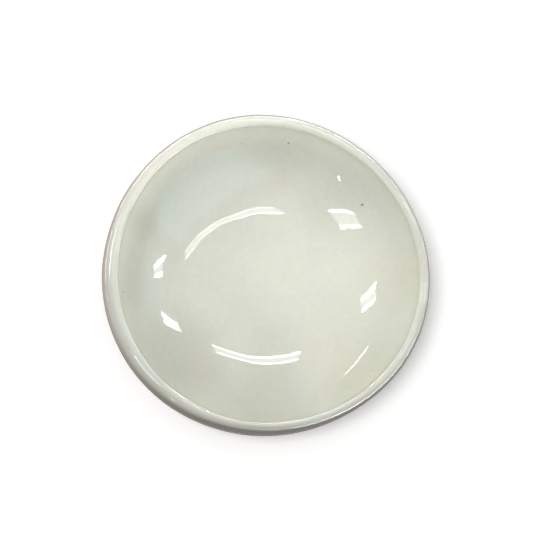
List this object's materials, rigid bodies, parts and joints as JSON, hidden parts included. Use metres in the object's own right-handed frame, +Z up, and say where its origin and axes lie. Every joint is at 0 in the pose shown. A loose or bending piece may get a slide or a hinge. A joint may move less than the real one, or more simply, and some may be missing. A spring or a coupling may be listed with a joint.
{
  "type": "evaporating dish",
  "caption": "Shallow round ceramic evaporating dish without a spout, glossy glaze inside and out, rounded lip and a bare foot ring.",
  "frame": {"origin": "centre of the foot's underside, on the surface that the dish stands on", "axes": "+Z up out of the bowl; +X and +Y are level"},
  "size_m": [0.1009, 0.0991, 0.023],
  "materials": {
    "fired_clay": "matte, fine grain, unglazed, buff white",
    "inside_glaze": "gloss, cream white with a faint grey-green cast and a few fine dark specks",
    "outside_glaze": "gloss, thinner and warmer than inside"
  },
  "bodies": {
    "root": {"clay_body": "fired_clay", "inner_glaze": "inside_glaze", "outer_glaze": "outside_glaze"}
  },
  "joints": []
}
